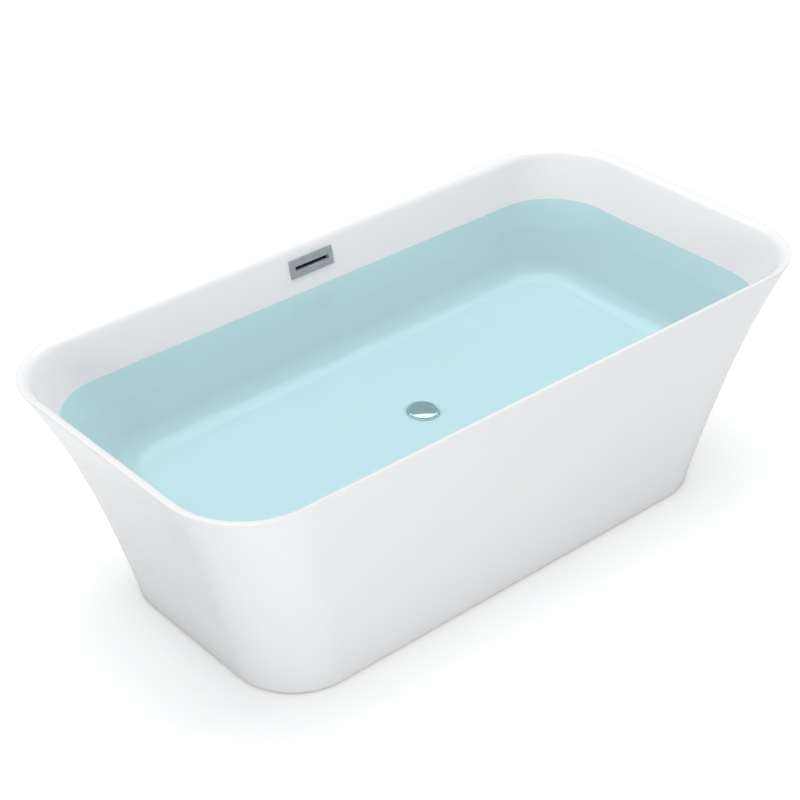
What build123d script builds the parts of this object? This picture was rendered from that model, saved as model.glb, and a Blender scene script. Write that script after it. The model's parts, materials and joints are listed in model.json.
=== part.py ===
from build123d import *

import math
import os

# Freestanding double-walled bathtub with a linear overflow, a push-to-open waste and levelling feet.
# Millimetres. +X runs along the tub, +Y across it towards the overflow side, +Z up. The origin is on the ground
# at the middle of the footprint, so the feet stand on z = 0.

# ---------------------------------------------------------------- overall shape
length = 1700.0  # over the rim
width = 850.0
height = 584.0  # ground to rim
foot_gap = 4.0  # skirt edge above the ground
base_length = 1314.0  # at the skirt's lower edge
base_width = 626.0
rim_corner_radius = 188.0
base_corner_radius = 154.0
end_flare_curl = 0.30  # share of the flare that gathers near the rim
side_flare_curl = 0.17
corner_growth = 0.75  # power by which the corner radius grows with height
rim_edge_radius = 2.0
rim_land = 3.0  # upright band at the rim's edge
skirt_edge_radius = 1.6
past = 1.0  # how far a cutting solid passes the face it opens
slope_step = 0.5  # half the height over which a slope is measured
search_steps = 600

# ---------------------------------------------------------------- shells
basin_thickness = 4.0
skirt_thickness = 4.0
resin_thickness = 2.5
lip_height = 10.0  # solid band of the rim, which the skirt meets from below
end_gap_rim = 21.0  # from the skirt's face to the basin's inner face
side_gap_rim = 21.5
end_gap_floor = 40.0
side_gap_floor = 32.0
roll_radius = 26.0  # the rim's roll down into the basin
floor_radius = 80.0
floor_height = 164.0  # basin floor at the waste
floor_fall = 6.0
resin_top = 420.0
drain_pan = 80.0  # half size of the level floor round the waste
drain_pan_flat = 10.0  # straight part of its half side

# ---------------------------------------------------------------- frame and feet
board_thickness = 22.0
board_end_gap = 107.0  # from the skirt's lower edge to the board, in plan
board_side_gap = 103.0
board_corner = 40.0
board_clearance = 7.0  # round the waste boss
tube_size = 30.0
tube_wall = 2.0
rail_end_inset = 10.0  # board's edge to the rail's end
rail_inset = 40.0  # board's edge to the rail's middle
cross_inner = 140.0  # inner cross members from the middle
foot_inset = 90.0  # rail's end to the foot
stud_radius = 6.0
stud_top_gap = 9.0  # stud end to the top of its rail
stud_hole_gap = 1.0
nut_wall = 3.5
weld_nut_height = 10.0
lock_nut_height = 6.0
collar_height = 6.0
collar_wall = 2.5
journal_step = 1.0
journal_length = 9.0
pad_radius = 30.0
pad_neck_wall = 8.0
pad_height = 16.0
pad_edge = 8.0
sole_height = 3.0
sole_inset = 3.0
seat_gap = 0.3
band_height = 30.0
band_thickness = 14.0
band_rise = 8.0  # skirt edge to the stiffening band
bracket_width = 40.0
bracket_thickness = 3.0
bracket_tab = 11.0
bracket_from_foot = 150.0
bracket_tab_gap = 2.0
bracket_leg = 24.0
screw_radius = 2.5
screw_length = 16.0
bolt_radius = 3.0
bolt_head_radius = 5.0
head_height = 3.0
bolts_from_foot = (235.0, 65.0)
bolt_bite = 14.0  # into the board

# ---------------------------------------------------------------- overflow
overflow_drop = 53.0  # its middle below the rim
cover_lip = 4.5  # cover beyond the plate
cover_depth = 4.6
cover_clearance = 0.5  # round the plate inside it
cover_slot = (98.0, 9.0)
cover_skin = 1.4
cover_corner = 2.0
plate_size = (116.0, 35.0, 1.2)
plate_slot = (92.0, 6.5)
wall_slot_height = 12.0
wall_slot_flat = 0.1  # half the straight part of its ends
slot_to_screw = 5.0
slot_corner = 1.5
gasket_thickness = 1.8
housing_lip = (1.0, 0.5)  # housing beyond the plate
housing_depth = 8.0
housing_opening_gap = (4.0, 7.0)
housing_wall = 1.5
overflow_screw_inset = 5.0  # from the plate's end
overflow_screw_clearance = 0.4
overflow_screw_tip_gap = 1.5
overflow_screw_radius = 1.8
overflow_head_radius = 3.4
overflow_head_height = 1.5
duct_size = (90.0, 7.0)
duct_wall = 1.2
duct_gap = 6.28  # its middle to the skirt's inner face
duct_entry = 8.0
boot_size = (70.0, 30.0)
boot_mouth = (98.0, 11.0)
boot_top = 158.0
boot_shoulder = 122.0
boot_depth = 50.0
boot_wall = 2.0
boot_set_in = 27.0  # box middle from the duct's middle
spigot_radius = 12.5
spigot_wall = 2.0
spigot_length = 40.0
hose_wall = 2.2
hose_grip = 28.0
hose_clearance = 0.75  # under the rails
hose_bend = 60.0
clamp_width = 9.0
clamp_thickness = 1.2
clamp_box = (12.0, 7.0)
clamp_screw_radius = 2.4
clamp_screw_reach = 2.0  # beyond the box at each side
clamp_head_radius = 3.5
clamp_head_length = 4.0

# ---------------------------------------------------------------- waste
recess_clearance = 5.0  # round the flange
recess_depth = 3.0
boss_wall = 6.0  # boss beyond the recess
drain_hole_clearance = 1.0
flange_lip = 3.0  # flange beyond the cap
flange_height = 3.0
seal_height = 1.0
seal_margin = 2.0
barrel_radius = 24.0
barrel_wall = 3.0
barrel_length = 50.0
spider_rise = 7.0  # above the barrel's lower end
spider_height = 5.0
spider_arm = 5.0
cartridge_radius = 9.0
cartridge_wall = 1.5
cartridge_height = 33.0
cartridge_end = 4.0
plunger_radius = 4.0
plunger_head_gap = 0.5
plunger_head_height = 3.0
stopper_travel = 11.0
stop_gap = 0.5  # left above the plunger's head when the stopper is up
spring_gap = 0.15
spring_side_gap = 1.3
spring_wire_radius = 0.6
spring_turns = 6
cap_radius = 35.0
cap_height = 6.5
cap_edge = 2.5
cap_gap = 0.6
cap_seal_land = 0.8
cap_seal_width = 2.2
cap_seal_height = 2.2
cap_seal_margin = 1.0
floor_washer_height = 4.0
washer_width = 13.0
friction_washer_height = 1.5
locknut_height = 10.0
locknut_wall = 9.0
tee_gap = 3.5  # locknut to the tee
tee_wall = 5.0
tee_ledge = 2.0
tee_seal_height = 2.0
tee_length = 78.0
tee_neck_length = 14.0
tee_neck_wall = 3.95
tee_branch_rise = 28.0  # branch above the tee's lower end
tailpiece_radius = 19.05
tailpiece_wall = 1.5
tailpiece_entry = 16.0
tailpiece_bottom = 20.0
tailpiece_groove = (0.3, 1.0)  # depth and width of the line that marks its reach
groove_drop = 2.0  # below the slip nut
slip_nut_height = 20.0
slip_nut_wall = 6.0
slip_nut_clearance = 0.3
slip_nut_lip = 3.0
slip_washer_height = 5.0
running_fit = 0.05

# ---------------------------------------------------------------- worked out
board_length = base_length - 2 * board_end_gap
board_width = base_width - 2 * board_side_gap
rail_length = board_length - 2 * rail_end_inset
rail_offset = board_width / 2 - rail_inset
foot_offset = rail_length / 2 - foot_inset
bracket_offset = foot_offset - bracket_from_foot
bolt_offsets = [foot_offset - gap for gap in bolts_from_foot]
nut_flats = 2 * (stud_radius + nut_wall)
collar_flats = 2 * (stud_radius + collar_wall)
journal_radius = stud_radius - journal_step
pad_neck_radius = journal_radius + pad_neck_wall
sole_radius = pad_radius - sole_inset

cover_size = [side + 2 * cover_lip for side in plate_size[:2]]
housing_size = [side + 2 * lip for side, lip in zip(plate_size, housing_lip)]
overflow_screw_offset = plate_size[0] / 2 - overflow_screw_inset
wall_slot = (2 * (overflow_screw_offset - slot_to_screw), wall_slot_height)

flange_radius = cap_radius + flange_lip
recess_radius = flange_radius + recess_clearance
boss_radius = recess_radius + boss_wall
board_hole_radius = boss_radius + board_clearance
barrel_bore = barrel_radius - barrel_wall
drain_hole_radius = barrel_radius + drain_hole_clearance
cap_seal_radius = barrel_bore + cap_seal_land + cap_seal_width
cartridge_bore = cartridge_radius - cartridge_wall
plunger_head_radius = cartridge_bore - plunger_head_gap
spring_radius = cartridge_bore - spring_side_gap - spring_wire_radius
floor_washer_radius = barrel_radius + washer_width
locknut_flats = 2 * (barrel_radius + locknut_wall)
tee_radius = barrel_radius + tee_wall
tee_bore = barrel_radius - tee_ledge
tee_neck_radius = tailpiece_radius + tee_neck_wall
slip_nut_flats = 2 * (tee_neck_radius + slip_nut_wall)

lip_bottom = height - lip_height
fillet_centre = floor_height + floor_fall + floor_radius
roll_centre = height - roll_radius
underside = floor_height - basin_thickness - resin_thickness  # lowest of the laminate
board_bottom = underside - board_thickness + floor_fall
rail_bottom = board_bottom - tube_size
weld_nut_bottom = rail_bottom - weld_nut_height
stud_top = rail_bottom + tube_size - stud_top_gap
hose_bore = spigot_radius + running_fit
hose_radius = hose_bore + hose_wall

seat = floor_height - recess_depth
flange_top = seat + seal_height + flange_height
barrel_bottom = flange_top - barrel_length
spider_bottom = barrel_bottom + spider_rise
cartridge_bottom = spider_bottom + spider_height
cartridge_top = cartridge_bottom + cartridge_height
cap_bottom = flange_top + cap_gap
cap_seat = cap_bottom - cap_seal_height - seat_gap
plunger_stop = cartridge_top - cartridge_end - stop_gap - stopper_travel
plunger_bottom = plunger_stop - plunger_head_height
boss_bottom = seat - basin_thickness
floor_washer_bottom = boss_bottom - floor_washer_height
friction_washer_bottom = floor_washer_bottom - friction_washer_height
locknut_bottom = friction_washer_bottom - locknut_height
tee_top = locknut_bottom - tee_gap
tee_bottom = tee_top - tee_length
tee_shoulder = barrel_bottom - tee_seal_height
branch_height = tee_bottom + tee_branch_rise
tailpiece_top = tee_bottom + tailpiece_entry
slip_washer_bottom = tee_bottom - slip_washer_height
slip_nut_bottom = slip_washer_bottom - slip_nut_lip

corners = [(sx, sy) for sx in (-1, 1) for sy in (-1, 1)]

nodes = {}


def keep(name, shape):
    """Name one piece of the tub."""
    nodes[name] = shape


# ================================================================ plan sections
def rise(z):
    """Height as a share of the skirt's flared height."""
    return min(1.0, (z - foot_gap) / (height - rim_land - foot_gap))


def flare(z, curl):
    """Share of the flare reached at height z: a straight part and a cubic part."""
    t = rise(z)
    return (1 - curl) * t + curl * t**3


def outer_half(z):
    """Half length, half width and corner radius of the skirt's face at height z."""
    end = base_length / 2 + (length - base_length) / 2 * flare(z, end_flare_curl)
    side = base_width / 2 + (width - base_width) / 2 * flare(z, side_flare_curl)
    corner = base_corner_radius + (rim_corner_radius - base_corner_radius) * max(0.0, rise(z)) ** corner_growth
    return end, side, corner


def wall_gap(z, at_rim, at_floor):
    """Skirt face to basin face: even near the rim, wider lower down."""
    s = max(0.0, (height - z) / (height - floor_height))
    return at_rim + (at_floor - at_rim) * s * s


def end_wall(z):
    return outer_half(z)[0] - wall_gap(z, end_gap_rim, end_gap_floor)


def side_wall(z):
    return outer_half(z)[1] - wall_gap(z, side_gap_rim, side_gap_floor)


def lean(wall, z):
    """Slope of a wall at z, as run over rise."""
    return (wall(z + slope_step) - wall(z - slope_step)) / (2 * slope_step)


def span(low, high, count):
    return [low + (high - low) * i / (count - 1) for i in range(count)]


def fillet_touch(wall):
    """Height where the floor fillet meets the wall, and its centre's distance from the middle."""
    best = min(
        (wall(z) - math.sqrt(floor_radius**2 - (z - fillet_centre) ** 2), z)
        for z in span(fillet_centre - floor_radius, fillet_centre, search_steps)
    )
    return best[1], best[0]


def roll_touch(wall):
    """Height where the rim's roll meets the wall, and its centre's distance from the middle."""
    best = max(
        (wall(z) + math.sqrt(roll_radius**2 - (z - roll_centre) ** 2), z)
        for z in span(roll_centre, height, search_steps)
    )
    return best[1], best[0]


touches = {wall: (fillet_touch(wall), roll_touch(wall)) for wall in (end_wall, side_wall)}


def basin_half(wall, z, offset):
    """Half size of the basin's face at height z, moved outwards by offset."""
    (fillet_z, fillet_x), (roll_z, roll_x) = touches[wall]
    big = floor_radius + offset
    small = roll_radius - offset
    if z < fillet_centre - (fillet_centre - fillet_z) * big / floor_radius:
        return fillet_x + math.sqrt(max(0.0, big**2 - (z - fillet_centre) ** 2))
    if z > roll_centre + (roll_z - roll_centre) * small / roll_radius:
        return roll_x - math.sqrt(max(0.0, small**2 - (z - roll_centre) ** 2))
    return wall(z) + offset * math.hypot(1, lean(wall, z))


def plan(end, side, corner, z):
    """A rounded rectangle at height z."""
    return Pos(0, 0, z) * RectangleRounded(2 * end, 2 * side, corner)


def outer_plan(z, inset=0.0):
    end, side, corner = outer_half(z)
    end -= inset * math.hypot(1, lean(lambda h: outer_half(h)[0], z))
    side -= inset * math.hypot(1, lean(lambda h: outer_half(h)[1], z))
    return plan(end, side, corner - inset, z)


def basin_plan(z, offset=0.0):
    end, side = basin_half(end_wall, z, offset), basin_half(side_wall, z, offset)
    outer_end, outer_side, outer_corner = outer_half(z)
    return plan(end, side, outer_corner - (outer_end - end + outer_side - side) / 2, z)


# ================================================================ shells
def outer_body(inset, low, high, count=7):
    """The solid inside the skirt's face, set in by inset."""
    return loft([outer_plan(z, inset) for z in span(low, high, count)])


def basin_body(offset, top):
    """The solid inside the basin's face, moved outwards by offset, up to height top."""
    big = floor_radius + offset
    low = [fillet_centre - big * math.cos(math.radians(a)) for a in (0, 9, 19, 30, 42, 54, 66)]
    wall_top = min(top, roll_centre)
    heights = low + span(low[-1], wall_top, 7)[1:]
    if top > roll_centre:
        small = roll_radius - offset
        steps = [math.radians(a) for a in (76, 62, 48, 34, 20, 8, 0)]
        heights += [z for z in (roll_centre + small * math.cos(a) for a in steps) if z <= top]
        if heights[-1] < top - past:
            heights.append(top)
    edge = basin_plan(low[0], offset)
    pan = plan(drain_pan, drain_pan, drain_pan - drain_pan_flat, floor_height - offset)
    return loft([basin_plan(z, offset) for z in heights]) + loft([pan, edge], ruled=True)


def rod(radius, low, high, x=0.0, y=0.0):
    """An upright cylinder from low to high."""
    return Pos(x, y, (low + high) / 2) * Cylinder(radius, high - low)


def ring(outer, inner, low, high, x=0.0, y=0.0):
    return rod(outer, low, high, x, y) - rod(inner, low - past, high + past, x, y)


def block(x_span, y_span, z_span):
    (x0, x1), (y0, y1), (z0, z1) = x_span, y_span, z_span
    return Pos((x0 + x1) / 2, (y0 + y1) / 2, (z0 + z1) / 2) * Box(x1 - x0, y1 - y0, z1 - z0)


def hexagon(flats, low, high, x=0.0, y=0.0):
    """A hexagonal prism, flats apart."""
    return Pos(x, y, low) * extrude(RegularPolygon(flats / 2, 6, major_radius=False), high - low)


def tube(size, wall, axis_length, x=0.0, y=0.0, z=0.0, turn=0.0):
    """A square tube lying along X, turned about Z."""
    section = RectangleRounded(size, size, 2 * wall) - RectangleRounded(size - 2 * wall, size - 2 * wall, wall)
    bar = Rot(0, 90, 0) * extrude(section, axis_length / 2, both=True)
    return Pos(x, y, z) * Rot(0, 0, turn) * bar


cavity = basin_body(0.0, height)
basin_back = basin_body(basin_thickness, lip_bottom)
laminate_back = basin_body(basin_thickness + resin_thickness, resin_top)
skirt_face = outer_body(0.0, foot_gap, lip_bottom)
skirt_inside = outer_body(skirt_thickness, foot_gap - past, lip_bottom + past)

# local frame on the basin's wall at the overflow: X along the tub, Y up the wall, Z into the basin
overflow_height = height - overflow_drop
wall_tilt = math.atan(lean(side_wall, overflow_height))
wall_frame = Plane(
    origin=(0, side_wall(overflow_height), overflow_height),
    x_dir=(1, 0, 0),
    z_dir=(0, -math.cos(wall_tilt), math.sin(wall_tilt)),
)


def on_wall(size, low, high, corner=0.0):
    """A plate on the basin's wall, from low to high along the wall's normal."""
    outline = RectangleRounded(*size, corner) if corner else Rectangle(*size)
    return wall_frame * Pos(0, 0, low) * extrude(outline, high - low)


def wall_rod(radius, low, high, x):
    return wall_frame * Pos(x, 0, (low + high) / 2) * Cylinder(radius, high - low)


def wall_screws(radius, low, high):
    return [wall_rod(radius, low, high, side * overflow_screw_offset) for side in (-1, 1)]


# ================================================================ shell pieces
def basin():
    land = extrude(outer_plan(height - rim_land), rim_land)
    rim = outer_body(0.0, lip_bottom, height - rim_land, 3) + land
    top_edge = rim.faces().sort_by(Axis.Z)[-1].edges()
    shell = fillet(top_edge, rim_edge_radius) + basin_back - cavity
    shell += rod(boss_radius, boss_bottom, floor_height)
    shell -= rod(recess_radius, seat, floor_height + past)
    shell -= rod(drain_hole_radius, boss_bottom - past, floor_height + past)
    shell -= on_wall(wall_slot, -2 * basin_thickness, basin_thickness, wall_slot[1] / 2 - wall_slot_flat)
    hole_radius = overflow_screw_radius + overflow_screw_clearance
    return screwed(shell, wall_screws(hole_radius, -2 * basin_thickness, basin_thickness))


def skirt():
    lower_edge = skirt_face.faces().sort_by(Axis.Z)[0].edges()
    return fillet(lower_edge, skirt_edge_radius) - skirt_inside


def laminate():
    """Glass-fibre layer on the back of the basin."""
    return laminate_back - basin_back - rod(boss_radius, underside - past, floor_height)


def band():
    """Stiffening ring inside the skirt's lower edge."""
    low, high = foot_gap + band_rise, band_top()
    level = block((-length, length), (-width, width), (low, high))
    return (skirt_inside & level) - outer_body(skirt_thickness + band_thickness, low - past, high + past, 3)


# ================================================================ frame
def board():
    plate = RectangleRounded(board_length, board_width, board_corner)
    slab = Pos(0, 0, board_bottom) * extrude(plate, floor_height - board_bottom)
    slab = slab - laminate_back - rod(board_hole_radius, board_bottom - past, floor_height + past)
    for x, y in bolt_places():
        slab -= rod(bolt_radius, board_bottom - past, board_bottom + bolt_bite, x, y)
    return slab


def bolt_places():
    return [(sx * x, sy * rail_offset) for x in bolt_offsets for sx, sy in corners]


def rails():
    middle = rail_bottom + tube_size / 2
    pieces = [tube(tube_size, tube_wall, rail_length, y=side * rail_offset, z=middle) for side in (-1, 1)]
    frame = pieces[0] + pieces[1]
    for sx, sy in corners:
        x, y = sx * foot_offset, sy * rail_offset
        frame -= rod(stud_radius + stud_hole_gap, rail_bottom - past, middle, x, y)
    for x, y in bolt_places():
        frame -= rod(bolt_radius, rail_bottom - past, board_bottom + past, x, y)
    return frame


def cross_members():
    reach = 2 * rail_offset - tube_size
    outer = rail_length / 2 - tube_size / 2
    middle = rail_bottom + tube_size / 2
    places = (-outer, -cross_inner, cross_inner, outer)
    return [tube(tube_size, tube_wall, reach, x=x, z=middle, turn=90) for x in places]


def frame_bolts():
    bolts = []
    for x, y in bolt_places():
        shank = rod(bolt_radius, rail_bottom, board_bottom + bolt_bite, x, y)
        bolts.append(shank + hexagon(2 * bolt_head_radius, rail_bottom - head_height, rail_bottom, x, y))
    return bolts


def band_top():
    return foot_gap + band_rise + band_height


def tab_edge():
    """How far out the brackets' tabs reach across the band."""
    return outer_half(band_top())[1] - skirt_thickness - bracket_tab_gap


def bracket(sx, sy):
    """A bent strip from a rail's side down to the top of the stiffening band."""
    face = rail_offset + tube_size / 2
    t = bracket_thickness
    knee = tab_edge() - bracket_tab
    low = band_top()
    outline = [
        (face, rail_bottom + bracket_leg),
        (face + t, rail_bottom + bracket_leg),
        (face + t, rail_bottom + t),
        (knee, rail_bottom + t),
        (knee, low + t),
        (tab_edge(), low + t),
        (tab_edge(), low),
        (knee - t, low),
        (knee - t, rail_bottom),
        (face, rail_bottom),
    ]
    strip = extrude(Plane.YZ * make_face(Polyline(*outline, close=True)), bracket_width / 2, both=True)
    strip -= rod(screw_radius, low - past, low + 2 * t, 0, screw_line())
    strip -= Pos(0, face, rail_bottom + rail_screw_rise()) * Rot(90, 0, 0) * Cylinder(screw_radius, 4 * t)
    if sy < 0:
        strip = mirror(strip, Plane.XZ)
    return Pos(sx * bracket_offset, 0, 0) * strip


def screw_line():
    return tab_edge() - bracket_tab / 2


def rail_screw_rise():
    return (bracket_leg + bracket_thickness) / 2


def skirt_brackets():
    return [bracket(sx, sy) for sx, sy in corners]


def bracket_screws():
    """One screw down into the band and one across into the rail for each bracket."""
    t = bracket_thickness
    face = rail_offset + tube_size / 2
    screws = []
    for sx, sy in corners:
        x = sx * bracket_offset
        top = band_top() + t
        down = rod(screw_radius, top - screw_length, top, x, sy * screw_line())
        screws.append(down + rod(2 * screw_radius, top, top + head_height, x, sy * screw_line()))
        across = rod(screw_radius, -screw_length, 0) + rod(2 * screw_radius, 0, head_height)
        place = Pos(x, sy * (face + t), rail_bottom + rail_screw_rise())
        screws.append(place * Rot(-90 * sy, 0, 0) * across)
    return screws


def screwed(piece, screws):
    """Take the screws' shanks out of a piece."""
    for screw in screws:
        piece = piece - screw
    return piece


# ================================================================ feet
def nut(low, high, x, y):
    return hexagon(nut_flats, low, high, x, y) - rod(stud_radius + running_fit, low - past, high + past, x, y)


def foot_nuts(low, high):
    return [nut(low, high, sx * foot_offset, sy * rail_offset) for sx, sy in corners]


def foot_stud(x, y):
    collar = hexagon(collar_flats, pad_height + seat_gap, pad_height + seat_gap + collar_height, x, y)
    journal = rod(journal_radius, pad_height - journal_length, pad_height + seat_gap, x, y)
    return journal + collar + rod(stud_radius, pad_height + seat_gap + collar_height, stud_top, x, y)


def foot_pad(x, y):
    outline = Polyline(
        (0, sole_height),
        (pad_radius, sole_height),
        (pad_radius, pad_edge),
        (pad_neck_radius, pad_height),
        (0, pad_height),
        close=True,
    )
    body = revolve(Plane.XZ * make_face(outline), Axis.Z)
    socket = rod(journal_radius + running_fit, pad_height - journal_length - seat_gap, pad_height + past)
    return Pos(x, y, 0) * (body - socket)


def foot_sole(x, y):
    return rod(sole_radius, 0, sole_height, x, y)


# ================================================================ overflow
def overflow_cover():
    plate = on_wall(cover_size, -basin_thickness, cover_depth, cover_corner)
    front = plate.faces().sort_by(Axis(wall_frame.origin, wall_frame.z_dir))[-1].edges()
    plate = fillet(front, cover_skin / 2)
    pocket = [side + 2 * cover_clearance for side in plate_size[:2]]
    plate -= on_wall(pocket, -2 * basin_thickness, cover_depth - cover_skin)
    plate -= on_wall(cover_slot, 0, 2 * cover_depth, slot_corner)
    return plate & cavity


def overflow_plate():
    plate = on_wall(plate_size[:2], -basin_thickness, plate_size[2], cover_corner)
    plate -= on_wall(plate_slot, -2 * basin_thickness, basin_thickness, slot_corner)
    return screwed(plate & cavity, wall_screws(overflow_screw_radius, -2 * basin_thickness, basin_thickness))


def housing_back():
    return -basin_thickness - gasket_thickness - housing_depth


def overflow_screws():
    tip = housing_back() + housing_wall + overflow_screw_tip_gap
    shanks = wall_screws(overflow_screw_radius, tip, plate_size[2])
    heads = wall_screws(overflow_head_radius, plate_size[2], plate_size[2] + overflow_head_height)
    return [shank + head for shank, head in zip(shanks, heads)]


def overflow_gasket():
    seal = on_wall(housing_size, -basin_thickness - gasket_thickness, past - basin_thickness, cover_corner)
    seal -= on_wall(housing_opening(), -4 * basin_thickness, basin_thickness)
    return screwed(seal - basin_back, wall_screws(overflow_screw_radius, -4 * basin_thickness, basin_thickness))


def housing_opening():
    return duct_size[0] + 2 * housing_opening_gap[0], housing_size[1] - 2 * housing_opening_gap[1]


def duct_middle(z):
    return outer_half(z)[1] - skirt_thickness - duct_gap


def duct_body(across, thick, low, high):
    """The duct as a solid that follows the skirt's inner face."""
    heights = span(low, high, 8)
    near = [(duct_middle(z) - thick / 2, z) for z in heights]
    far = [(duct_middle(z) + thick / 2, z) for z in reversed(heights)]
    outline = Spline(*near) + Line(near[-1], far[0]) + Spline(*far) + Line(far[-1], near[0])
    return extrude(Plane.YZ * make_face(outline), across / 2, both=True)


def duct_top():
    drop = housing_size[1] / 2 * math.cos(wall_tilt)
    return overflow_height - drop + duct_entry


def duct_bottom():
    return boot_top - 2 * duct_entry


def overflow_duct():
    across, thick = duct_size
    inside = duct_body(across - 2 * duct_wall, thick - 2 * duct_wall, duct_bottom() - past, duct_top() + past)
    return duct_body(across, thick, duct_bottom(), duct_top()) - inside


def overflow_housing():
    low, high = housing_back(), -basin_thickness - gasket_thickness
    box = on_wall(housing_size, low, high, cover_corner)
    box -= on_wall(housing_opening(), low + housing_wall, high + past)
    box -= duct_body(*duct_size, duct_bottom(), duct_top())
    return screwed(box, wall_screws(overflow_screw_radius, low + housing_wall, high + past))


def boot_middle():
    return duct_middle(boot_top) - boot_set_in


def boot_body(shrink):
    """The boot's outside, or its inside when shrunk by the wall."""
    mouth = Pos(0, duct_middle(boot_top), boot_top) * Rectangle(
        boot_mouth[0] - 2 * shrink, boot_mouth[1] - 2 * shrink
    )
    shoulder = Pos(0, boot_middle(), boot_shoulder) * Rectangle(
        boot_size[0] - 2 * shrink, boot_size[1] - 2 * shrink
    )
    x, y = boot_size[0] / 2 - shrink, boot_size[1] / 2 - shrink
    low = boot_shoulder - boot_depth + shrink
    box = block((-x, x), (boot_middle() - y, boot_middle() + y), (low, boot_shoulder))
    return loft([mouth, shoulder], ruled=True) + box


def along_y(radius, near, far, z):
    """A cylinder lying along Y from near to far."""
    return Pos(0, (near + far) / 2, z) * Rot(90, 0, 0) * Cylinder(radius, far - near)


def boot_height():
    """Middle of the hose where it passes under the rail to the boot."""
    return rail_bottom - hose_clearance - hose_radius


def boot_face():
    return boot_middle() - boot_size[1] / 2


def overflow_boot():
    spigot = along_y(spigot_radius, boot_face() - spigot_length, boot_middle(), boot_height())
    bore = along_y(spigot_radius - spigot_wall, boot_face() - 2 * spigot_length, boot_middle(), boot_height())
    mouth = duct_body(*duct_size, duct_bottom(), duct_top())
    return boot_body(0.0) + spigot - boot_body(boot_wall) - bore - mouth


def hose_ends():
    return tee_radius + spigot_length - hose_grip, boot_face() - spigot_length + hose_grip


def overflow_hose():
    near, far = hose_ends()
    turn = far - hose_grip - hose_bend
    route = FilletPolyline(
        (0, near, branch_height),
        (0, turn - hose_bend / 2, branch_height),
        (0, turn + hose_bend / 2, boot_height()),
        (0, far, boot_height()),
        radius=2 * hose_bend,
    )
    start = Plane(origin=(0, near, branch_height), z_dir=(0, 1, 0))
    return sweep(start * (Circle(hose_radius) - Circle(hose_bore)), path=route)


def clamp_places():
    near, far = hose_ends()
    middle = hose_grip / 2
    return (near + middle, branch_height), (far - middle, boot_height())


def hose_clamps():
    clamps = []
    for y, z in clamp_places():
        strap = along_y(hose_radius + clamp_thickness, y - clamp_width / 2, y + clamp_width / 2, z)
        top = z - hose_radius - clamp_thickness
        x = clamp_box[0] / 2
        lug = block((-x, x), (y - clamp_width / 2, y + clamp_width / 2), (top - clamp_box[1], z))
        screw = clamp_screw(y, z)
        clamps.append(strap + lug - along_y(hose_radius, y - clamp_width, y + clamp_width, z) - screw)
    return clamps


def clamp_screw(y, z):
    """A worm screw across the clamp, below the hose."""
    level = z - hose_radius - clamp_thickness - clamp_box[1] / 2
    worm = Pos(0, y, level) * Rot(0, 90, 0) * Cylinder(clamp_screw_radius, clamp_box[0] + 2 * clamp_screw_reach)
    head = Rot(0, 90, 0) * extrude(RegularPolygon(clamp_head_radius, 6, major_radius=False), clamp_head_length)
    return worm + Pos(clamp_box[0] / 2 + clamp_screw_reach, y, level) * head


def clamp_screws():
    return [clamp_screw(y, z) for y, z in clamp_places()]


# ================================================================ waste
def drain_flange():
    """Flange, threaded barrel and the cross that carries the cartridge."""
    piece = rod(flange_radius, flange_top - flange_height, flange_top)
    rim = piece.faces().sort_by(Axis.Z)[-1].edges()
    piece = fillet(rim, flange_height / 2) + rod(barrel_radius, barrel_bottom, flange_top)
    piece -= rod(barrel_bore, barrel_bottom - past, flange_top + past)
    piece -= rod(cap_seal_radius + cap_seal_margin, cap_seat, flange_top + past)
    arm = (-barrel_bore - past, barrel_bore + past)
    half = (-spider_arm / 2, spider_arm / 2)
    level = (spider_bottom, cartridge_bottom)
    cross = block(arm, half, level) + block(half, arm, level) + rod(cartridge_radius, *level)
    return piece + cross - rod(plunger_radius, spider_bottom - past, cartridge_bottom + past)


def cartridge():
    body = ring(cartridge_radius, cartridge_bore, cartridge_bottom, cartridge_top)
    base = rod(cartridge_bore, cartridge_bottom, cartridge_bottom + cartridge_end)
    end = ring(cartridge_bore, plunger_radius + running_fit, cartridge_top - cartridge_end, cartridge_top)
    return body + base + end + rod(plunger_radius, spider_bottom, cartridge_bottom)


def stopper_spring():
    low = cartridge_bottom + cartridge_end + spring_gap + spring_wire_radius
    high = plunger_bottom - spring_gap - spring_wire_radius
    coil = Helix((high - low) / spring_turns, high - low, spring_radius)
    start = Plane(origin=coil @ 0, z_dir=coil % 0)
    return Pos(0, 0, low) * sweep(start * Circle(spring_wire_radius), path=coil, is_frenet=True)


def stopper_plunger():
    head = rod(plunger_head_radius, plunger_bottom, plunger_stop)
    return head + rod(plunger_radius, plunger_stop, cap_bottom)


def stopper_cap():
    disc = rod(cap_radius, cap_bottom, cap_bottom + cap_height)
    return fillet(disc.faces().sort_by(Axis.Z)[-1].edges(), cap_edge)


def stopper_seal():
    return ring(cap_seal_radius, cap_seal_radius - cap_seal_width, cap_bottom - cap_seal_height, cap_bottom)


def barrel_washer(low, high):
    return ring(floor_washer_radius, barrel_radius, low, high)


def locknut():
    body = hexagon(locknut_flats, locknut_bottom, friction_washer_bottom)
    return body - rod(barrel_radius, locknut_bottom - past, friction_washer_bottom + past)


def waste_tee():
    body = rod(tee_radius, tee_bottom + tee_neck_length, tee_top)
    body += rod(tee_neck_radius, tee_bottom, tee_bottom + tee_neck_length)
    body += along_y(spigot_radius, 0, tee_radius + spigot_length, branch_height)
    body -= rod(barrel_radius, tee_shoulder, tee_top + past)
    body -= rod(tee_bore, tailpiece_top, tee_shoulder + past)
    body -= rod(tailpiece_radius, tee_bottom - past, tailpiece_top + past)
    return body - along_y(spigot_radius - spigot_wall, 0, tee_radius + 2 * spigot_length, branch_height)


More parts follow.
